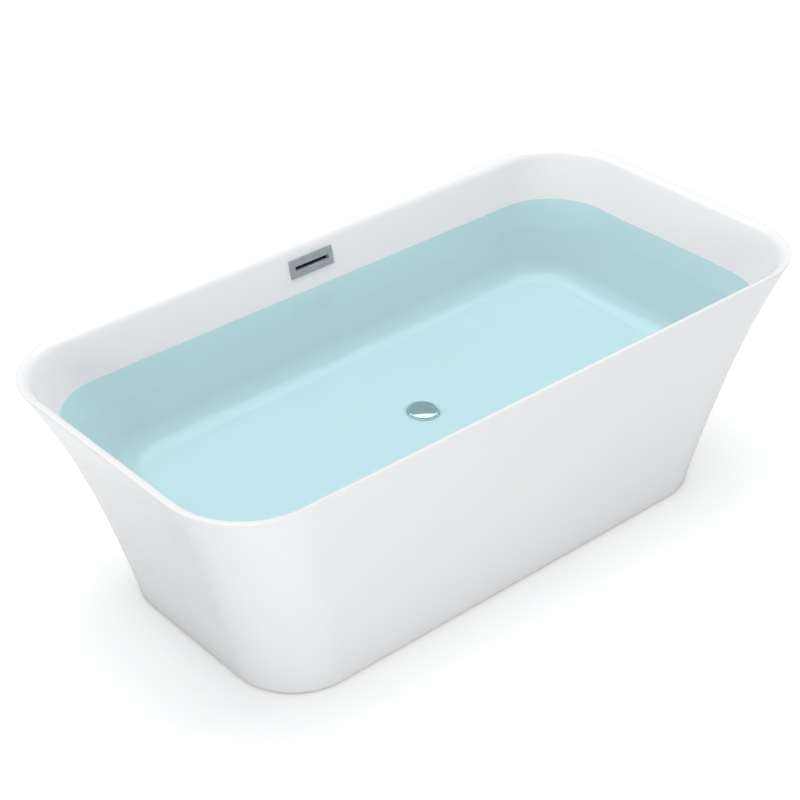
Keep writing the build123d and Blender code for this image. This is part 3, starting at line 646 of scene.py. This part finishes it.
finishes = {
    "white_acrylic": whiteAcrylic(),
    "satin_metal": metalFinish(
        "satinSteel", (0.40, 0.43, 0.44), (0.47, 0.50, 0.51), (0.24, 0.38),
        (14.0, 1900.0, 1900.0), 0.12,
    ),
    "chrome": metalFinish(
        "polishedChrome", (0.62, 0.66, 0.67), (0.68, 0.71, 0.72), (0.03, 0.07),
        (90.0, 90.0, 90.0), 0.02,
    ),
    "brass": metalFinish(
        "turnedBrass", (0.58, 0.42, 0.17), (0.66, 0.50, 0.23), (0.18, 0.34),
        (60.0, 60.0, 2200.0), 0.2,
    ),
    "zinc_fixing": metalFinish(
        "brightZinc", (0.52, 0.53, 0.53), (0.62, 0.63, 0.61), (0.22, 0.38),
        (500.0, 500.0, 500.0), 0.1,
    ),
    "spring_steel": metalFinish(
        "springWire", (0.50, 0.51, 0.52), (0.58, 0.59, 0.60), (0.16, 0.3), (700.0, 700.0, 700.0),
        0.1,
    ),
    "galvanised": zincFinish("galvanisedSteel", (0.42, 0.44, 0.45), (0.62, 0.64, 0.65), (0.28, 0.5), 130.0),
    "glass_fibre": chippedFinish(
        "glassFibreLaminate", (0.56, 0.54, 0.42), (0.76, 0.74, 0.62), 0.5, 90.0,
        (1.0, 0.35, 1.0), 0.0012,
    ),
    "board": chippedFinish(
        "pressedChipBoard", (0.26, 0.17, 0.09), (0.58, 0.44, 0.28), 0.6, 260.0, (1.0, 0.4, 1.0),
        0.0003,
    ),
    "black_rubber": mouldedFinish("blackRubber", (0.016, 0.016, 0.016), (0.03, 0.03, 0.03), (0.55, 0.75)),
    "grey_rubber": mouldedFinish("greySealRubber", (0.10, 0.105, 0.11), (0.15, 0.155, 0.16), (0.5, 0.7)),
    "white_plastic": mouldedFinish(
        "whiteMouldedPlastic", (0.72, 0.72, 0.70), (0.78, 0.78, 0.76), (0.32, 0.46),
    ),
    "black_plastic": mouldedFinish(
        "blackNylon", (0.018, 0.018, 0.02), (0.035, 0.035, 0.037), (0.36, 0.5), 1400.0,
    ),
    "grey_plastic": mouldedFinish("greyHosePlastic", (0.30, 0.31, 0.32), (0.38, 0.39, 0.40), (0.3, 0.42)),
}
nodeSlots = {part["node"]: part["material_slot"] for part in frame["record"]["subparts"]}
for nodeName, cadPiece in cadNodes.items():
    for holder in cadPiece.material_slots:
        holder.material = finishes[nodeSlots[nodeName]]
print(len(finishes), "finishes made")


def dressed(piece, slotName):
    piece.data.materials.clear()
    piece.data.materials.append(finishes[slotName])
    return piece


# small shapes shared by several pieces
def turnedRows(profile, steps=48):
    # a profile of (radius, height) carried round an upright axis; ends at radius 0 close to a pole
    profile = np.asarray(profile, float)
    turn = np.linspace(0, 2 * math.pi, steps, endpoint=False)
    radius, level = profile[:, :1], profile[:, 1:]
    level = np.broadcast_to(level, (len(profile), steps))
    return np.stack([radius * np.cos(turn), radius * np.sin(turn), level], -1)


def arcProfile(centreR, centreZ, radius, fromAngle, toAngle, count):
    # part of a circle in the plane of a profile, angles in degrees
    angle = np.radians(np.linspace(fromAngle, toAngle, count))
    return [(centreR + radius * math.cos(a), centreZ + radius * math.sin(a)) for a in angle]


def settle(piece, body, *replaced):
    # a new piece rides a body, stands for CAD nodes and takes their finish
    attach(piece, body)
    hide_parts(*replaced)
    return dressed(piece, nodeSlots[replaced[0]])


def joined(name, parts):
    # several closed surfaces kept as one piece
    work = bmesh.new()
    for part in parts:
        work.from_mesh(part.data)
        bpy.data.objects.remove(part)
    mesh = bpy.data.meshes.new(name)
    work.to_mesh(mesh)
    work.free()
    mesh.shade_smooth()
    mesh.set_sharp_from_angle(angle=math.radians(creaseAngle))
    piece = bpy.data.objects.new(name, mesh)
    bpy.context.scene.collection.objects.link(piece)
    return piece


settle(basin, "tub", "basin")
settle(skirt, "tub", "outer_skirt")

# overflow cover: a satin plate with a slot
coverShape = {
    "width": 0.125,
    "tall": 0.044,
    "depth": 0.0046,
    "corner": 0.0014,
    "bevel": 0.0007,
    "bevelTurns": (25, 50, 75, 90),  # degrees
    "slotWidth": 0.098,
    "slotTall": 0.009,
    "slotCorner": 0.0012,
    # the slot's softened edge: how much wider, its corner and how far below the face
    "slotEdge": ((0.0, 0.0012, 0.0003), (0.0003, 0.0013, 0.0001), (0.0007, 0.0014, 0.0)),
    "skin": 0.0014,
    "sunk": 0.0002,  # into the wall
    "pocketInset": 0.003,
    "pocketCorner": 0.001,
}


def coverSurface():
    # out from the slot over the face, round the bevelled edge to the wall and back inside the pocket
    size, bevel, depth = coverShape, coverShape["bevel"], coverShape["depth"]
    corner, floorLevel = size["corner"], depth - size["skin"]
    rows = []

    def row(width, tall, corner, level):
        rows.append(wallPlace(*slotLoop(width, tall, corner).T, level, overflowSeat))

    slotW, slotT, width, tall = size["slotWidth"], size["slotTall"], size["width"], size["tall"]
    row(slotW, slotT, size["slotCorner"], floorLevel)
    for wider, bend, below in size["slotEdge"]:
        row(slotW + wider, slotT + wider, bend, depth - below)
    widest = size["slotEdge"][-1][0]
    for share in np.linspace(0, 1, 8)[1:]:
        faceW = slotW + widest + (width - 2 * bevel - slotW - widest) * share
        faceT = slotT + widest + (tall - 2 * bevel - slotT - widest) * share
        row(faceW, faceT, corner, depth)
    for angle in np.radians(size["bevelTurns"]):
        drawn = 2 * bevel * (1 - math.sin(angle))
        row(width - drawn, tall - drawn, corner, depth - bevel * (1 - math.cos(angle)))
    row(width, tall, corner, -size["sunk"])
    inset = size["pocketInset"]
    row(width - inset, tall - inset, size["pocketCorner"], -size["sunk"])
    row(width - inset, tall - inset, size["pocketCorner"], floorLevel)
    return np.stack(rows)


coverPlate = surfacePiece("overflowCoverPlate", coverSurface(), closeRows=True, flip=True)
settle(coverPlate, "tub", "overflow_cover")

# stopper cap: a shallow dome with a turned edge
capLow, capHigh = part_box("stopper_cap")
capRadius = (capHigh.x - capLow.x) / 2
capShape = {"crown": 0.0016, "edge": 0.0022, "seam": 0.0001, "underLip": 0.0008, "flat": 0.6}


def capProfile():
    # pole, dome, rounded edge, upright side, under-lip and flat underside back to the pole
    top, low, radius = capHigh.z, capLow.z, capRadius
    edge, crown, underLip = capShape["edge"], capShape["crown"], capShape["underLip"]
    across = np.linspace(0, radius - edge, 22)
    dome = [(r, top - crown * (r / radius) ** 2) for r in across]
    shoulder = top - crown - edge
    lean = math.degrees(math.atan(2 * crown / radius))
    side = arcProfile(radius - edge, shoulder + capShape["seam"], edge, 90 - lean, 0, 9)[1:]
    foot = arcProfile(radius - underLip, low + underLip, underLip, 0, -90, 5)
    return dome + side + foot + [(radius * capShape["flat"], low), (0.0, low)]


capDome = surfacePiece("stopperCapDome", turnedRows(capProfile(), 128), weld=2e-6)
settle(capDome, "stopper", "stopper_cap")
print("cover and stopper cap made")

# feet: threaded studs, chamfered nuts, ribbed pads and treaded soles
footShape = {
    "thread": 0.006,
    "pitch": 0.00175,
    "threadDepth": 0.0009,
    "tip": 0.001,
    "collarFlats": 0.017,
    "collarTall": 0.006,
    "nutFlats": 0.019,
    "chamferStart": 0.95,  # share of the flats
    "bore": 0.00605,
    "journal": 0.005,
    "socket": 0.00505,
    "play": 0.0003,
    "edge": 0.0005,
    "padRadius": 0.030,
    "padNeck": 0.013,
    "padEdge": 0.005,
    "ribs": 24,
    "ribDepth": 0.0007,
    "soleRadius": 0.027,
    "treads": 5,
    "treadDepth": 0.0008,
}
steepness = math.tan(math.radians(30))  # slope of a nut's chamfer


def threadedRows(radius, low, high, steps=48, rowsPerTurn=6):
    # radius less a wave whose phase climbs one pitch a turn, right-handed; it fades out at both ends
    pitch, depth = footShape["pitch"], footShape["threadDepth"]
    level = np.linspace(low, high, int((high - low) / pitch * rowsPerTurn))[:, None]
    turn = np.linspace(0, 2 * math.pi, steps, endpoint=False)[None]
    fade = np.clip(np.minimum(level - low, high - level) / pitch, 0, 1)
    reach = radius - depth * (0.5 - 0.5 * np.cos(2 * math.pi * level / pitch - turn)) * fade
    return np.stack([reach * np.cos(turn), reach * np.sin(turn), np.broadcast_to(level, reach.shape)], -1)


def hexRows(flats, low, high, steps=48):
    # a hexagon with corners on X, cut by a cone at both ends: each ring runs from a circle to the corners
    turn = np.linspace(0, 2 * math.pi, steps, endpoint=False)
    corner = flats / 2 / np.cos(turn % (math.pi / 3) - math.pi / 6)
    circle = np.full(steps, flats / 2 * footShape["chamferStart"])
    drop = (corner - circle) * steepness
    flat = np.zeros(steps)
    rings = [(circle, low + flat), (corner, low + drop), (corner, high - drop), (circle, high + flat)]
    rows = [np.stack([radius * np.cos(turn), radius * np.sin(turn), level], 1) for radius, level in rings]
    return np.stack(rows)


def shifted(points, place):
    return points + np.array([*place, 0.0])


def nutPiece(name, low, high, places):
    # four nuts, each a closed ring of bore and chamfered hexagon
    bore = turnedRows([(footShape["bore"], high), (footShape["bore"], low)])
    rows = np.concatenate([hexRows(footShape["nutFlats"], low, high), bore])
    return joined(name, [surfacePiece(name, shifted(rows, place), closeRows=True) for place in places])


def studRows(low, collarLow, collarHigh, high):
    tipTall = footShape["tip"]
    journal = turnedRows([(0.0, low), (footShape["journal"], low), (footShape["journal"], collarLow)])
    tip = turnedRows([(footShape["thread"] - tipTall, high), (0.0, high)])
    thread = threadedRows(footShape["thread"], collarHigh, high - tipTall)
    return np.concatenate([journal, hexRows(footShape["collarFlats"], collarLow, collarHigh), thread, tip])


def padRows(low, high, journalFoot):
    # a skirted cone whose slope carries ribs: the slope sinks between them
    radius, neck, edge = footShape["padRadius"], footShape["padNeck"], footShape["padEdge"]
    soft, socketR = footShape["edge"], footShape["socket"]
    side = [(0.0, low), (radius - soft, low), (radius, low + soft), (radius, low + edge)]
    share = np.linspace(0, 1, 14)[1:, None]
    turn = np.linspace(0, 2 * math.pi, 96, endpoint=False)[None]
    ribs = np.clip(np.cos(turn * footShape["ribs"]) * 2, -1, 1) * 0.5 - 0.5
    reach = radius + (neck - radius) * share
    level = low + edge + (high - low - edge) * share + footShape["ribDepth"] * ribs * np.sin(math.pi * share)
    slope = np.stack([reach * np.cos(turn), reach * np.sin(turn), level], -1)
    socket = [(socketR, high), (socketR, journalFoot), (0.0, journalFoot)]
    return np.concatenate([turnedRows(side, 96), slope, turnedRows(socket, 96)])


def soleRows(low, high):
    # a disc whose underside carries round grooves
    radius, soft = footShape["soleRadius"], footShape["edge"]
    across = np.linspace(radius - 0.001, 0.002, 80)
    wave = np.clip(np.sin(across / radius * math.pi * 2 * footShape["treads"]) * 3, 0, 1)
    under = [(r, low + footShape["treadDepth"] * w) for r, w in zip(across, wave)]
    side = [(0.0, high), (radius, high), (radius, low + soft), (radius - soft, low)]
    return turnedRows([*side, *under, (0.0, low)], 64)


footPlaces = []
for number in (1, 2, 3, 4):
    studLow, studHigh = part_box(f"foot_{number}_stud")
    padLow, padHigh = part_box(f"foot_{number}_pad")
    soleLow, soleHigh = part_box(f"foot_{number}_sole")
    place = ((padLow.x + padHigh.x) / 2, (padLow.y + padHigh.y) / 2)
    footPlaces.append(place)
    collarLow = padHigh.z + footShape["play"]
    collarHigh = collarLow + footShape["collarTall"]
    rows = shifted(studRows(studLow.z, collarLow, collarHigh, studHigh.z), place)
    settle(surfacePiece(f"footStud{number}", rows, weld=2e-6), f"stud_{number}", f"foot_{number}_stud")
    rows = shifted(padRows(padLow.z, padHigh.z, studLow.z - footShape["play"]), place)
    settle(surfacePiece(f"footPad{number}", rows, weld=2e-6), f"foot_{number}", f"foot_{number}_pad")
    rows = shifted(soleRows(soleLow.z, soleHigh.z), place)
    sole = surfacePiece(f"footSole{number}", rows, flip=True, weld=2e-6)
    settle(sole, f"foot_{number}", f"foot_{number}_sole")

for nodeName, name in (("foot_weld_nuts", "weldNuts"), ("foot_lock_nuts", "lockNuts")):
    nutLow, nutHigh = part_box(nodeName)
    settle(nutPiece(name, nutLow.z, nutHigh.z, footPlaces), "tub", nodeName)
print("feet made")

# water in the basin, which is part of the setting
water = {
    "level": 0.4722,
    "rimGap": 0.001,
    "rings": 150,
    "swell": 0.0011,
    "swellWaves": 22,
    "chop": 0.00012,
    "chopWaves": 14,
    "tint": (0.64, 0.87, 0.915),
    "shadeTint": (0.93, 0.985, 1.0),
    "bending": 1.333,  # refractive index
}


def rippleHeight(x, y):
    # a sum of slow sine waves that cross at different bearings, so that no pattern repeats
    rng = np.random.default_rng(7)
    height = np.zeros_like(x)
    shortest, longest = 0.05, 0.16
    for _ in range(water["swellWaves"]):
        bearing = rng.uniform(0, math.pi)
        wave = rng.uniform(shortest, longest)
        phase = rng.uniform(0, 2 * math.pi)
        push = rng.uniform(0.4, 1.0) * wave / longest
        bend = 0.35 * np.sin(7.0 * (x * math.sin(bearing) - y * math.cos(bearing)) + phase)
        along = x * math.cos(bearing) + y * math.sin(bearing)
        height += push * np.sin(2 * math.pi * along / wave + phase + bend)
    return height / np.abs(height).max()


def chopHeight(x, y):
    # short waves that come and go in patches, so that what lies under them tears
    rng = np.random.default_rng(19)
    height = np.zeros_like(x)
    for _ in range(water["chopWaves"]):
        bearing, phase = rng.uniform(0, math.pi), rng.uniform(0, 2 * math.pi)
        wave = rng.uniform(0.020, 0.038)
        along = x * math.cos(bearing) + y * math.sin(bearing)
        height += np.sin(2 * math.pi * along / wave + phase)
    patches = 0.5 + 0.5 * np.sin(6.0 * x + 1.3) * np.cos(8.0 * y + 0.4)
    return height / water["chopWaves"] * patches


def waterSurface():
    rim = basinRings(np.array([water["level"]]), water["rimGap"])[0]
    share = np.linspace(0.0, 1.0, water["rings"])[:, None, None]
    sheet = rim[None] * np.array([1, 1, 0]) * share
    slow, quick = (wave(sheet[..., 0], sheet[..., 1]) for wave in (rippleHeight, chopHeight))
    sheet[..., 2] = water["level"] + water["swell"] * slow + water["chop"] * quick
    return sheet


waterTop = surfacePiece("waterTop", waterSurface(), flip=True, weld=1e-6, sharp=180)
waterPaint = bpy.data.materials.new("clearWater")
waterPaint.use_nodes = True
waterTree = waterPaint.node_tree
waterTree.nodes.clear()
waterOut = waterTree.nodes.new("ShaderNodeOutputMaterial")
waterMix = waterTree.nodes.new("ShaderNodeMixShader")
waterGlass = waterTree.nodes.new("ShaderNodeBsdfGlass")
waterGlass.inputs["Color"].default_value = paint(water["tint"])
waterGlass.inputs["IOR"].default_value = water["bending"]
waterGlass.inputs["Roughness"].default_value = 0.0
waterClear = waterTree.nodes.new("ShaderNodeBsdfTransparent")
waterClear.inputs["Color"].default_value = paint(water["shadeTint"])
waterRay = waterTree.nodes.new("ShaderNodeLightPath")
waterTree.links.new(waterRay.outputs["Is Camera Ray"], waterMix.inputs["Fac"])
waterTree.links.new(waterClear.outputs[0], waterMix.inputs[1])
waterTree.links.new(waterGlass.outputs[0], waterMix.inputs[2])
waterTree.links.new(waterMix.outputs[0], waterOut.inputs["Surface"])
waterTop.data.materials.append(waterPaint)
print("water poured")

# setting: floor, lights and camera
setting = {
    "floorSize": 14.0,
    "floorTone": (0.88, 0.88, 0.88),
    "floorRough": 0.9,
    "floorShine": 0.1,
    "floorGlow": 0.24,
    "sky": (0.97, 0.985, 1.0),
    "skyPower": 0.64,
}


def floorSheet():
    half = setting["floorSize"] / 2
    corners = np.array([[-half, -half, 0], [half, -half, 0], [half, half, 0], [-half, half, 0]], float)
    return meshPiece("floor", corners, np.array([[0, 1, 2, 3]]))


floor = floorSheet()
floorPaint, floorTree, floorShader = newMaterial("paleFloor")
floorShader.inputs["Base Color"].default_value = paint(setting["floorTone"])
floorShader.inputs["Roughness"].default_value = setting["floorRough"]
floorShader.inputs["Specular IOR Level"].default_value = setting["floorShine"]
floorShader.inputs["Emission Color"].default_value = paint((1, 1, 1))
floorRay = floorTree.nodes.new("ShaderNodeLightPath")
floorGlow = floorTree.nodes.new("ShaderNodeMath")  # the sheet looks evenly lit to the camera
floorGlow.operation = "MULTIPLY"
floorGlow.inputs[1].default_value = setting["floorGlow"]
floorTree.links.new(floorRay.outputs["Is Camera Ray"], floorGlow.inputs[0])
floorTree.links.new(floorGlow.outputs[0], floorShader.inputs["Emission Strength"])
floor.data.materials.append(floorPaint)

world = bpy.data.worlds.new("studio")
bpy.context.scene.world = world
world.use_nodes = True
world.node_tree.nodes["Background"].inputs["Color"].default_value = paint(setting["sky"])
world.node_tree.nodes["Background"].inputs["Strength"].default_value = setting["skyPower"]
bpy.context.scene.view_settings.view_transform = "Standard"
bpy.context.scene.view_settings.look = "None"


def softBox(name, place, aim, size, power):
    light = bpy.data.lights.new(name, "AREA")
    light.shape = "RECTANGLE"
    light.size, light.size_y = size
    light.energy = power
    lamp = bpy.data.objects.new(name, light)
    bpy.context.scene.collection.objects.link(lamp)
    lamp.location = place
    lamp.rotation_euler = (Vector(aim) - Vector(place)).to_track_quat("-Z", "Y").to_euler()


softBox("keyLight", place=(-3.3, -4.0, 0.95), aim=(-0.4, -0.2, 0.25), size=(1.8, 1.3), power=62)
softBox("topLight", place=(0.2, 0.4, 4.2), aim=(0, 0, 0.3), size=(5.0, 4.0), power=118)

shot = {
    "azimuth": -40.583,  # angles in degrees
    "elevation": 32.762,
    "roll": -0.557,
    "lens": 88.99,  # lens and sensor in millimetres
    "sensor": 36,
    "distance": 4.4587,
    "across": 0.0511,
    "up": -0.0294,
    "aimHeight": 0.300,  # above the skirt's foot
}


def placeCamera():
    # the camera's right, up and back directions from its bearing, height and roll
    turn, climb, roll = (math.radians(shot[k]) for k in ("azimuth", "elevation", "roll"))
    flat = Vector((math.cos(turn), math.sin(turn), 0))
    back = Vector((math.sin(turn) * math.cos(climb), -math.cos(turn) * math.cos(climb), math.sin(climb)))
    high = back.cross(flat)
    right = flat * math.cos(roll) + high * math.sin(roll)
    up = high * math.cos(roll) - flat * math.sin(roll)
    middle = Vector((0, 0, shot["aimHeight"] + tub["footGap"]))
    aim = middle - right * shot["across"] - up * shot["up"]
    lens = bpy.data.cameras.new("studioCamera")
    lens.sensor_width = shot["sensor"]
    lens.lens = shot["lens"]
    camera = bpy.data.objects.new("studioCamera", lens)
    bpy.context.scene.collection.objects.link(camera)
    facing = Matrix((right, up, back)).transposed().to_4x4()
    camera.matrix_world = Matrix.Translation(aim + back * shot["distance"]) @ facing
    bpy.context.scene.camera = camera


placeCamera()
print("setting ready")
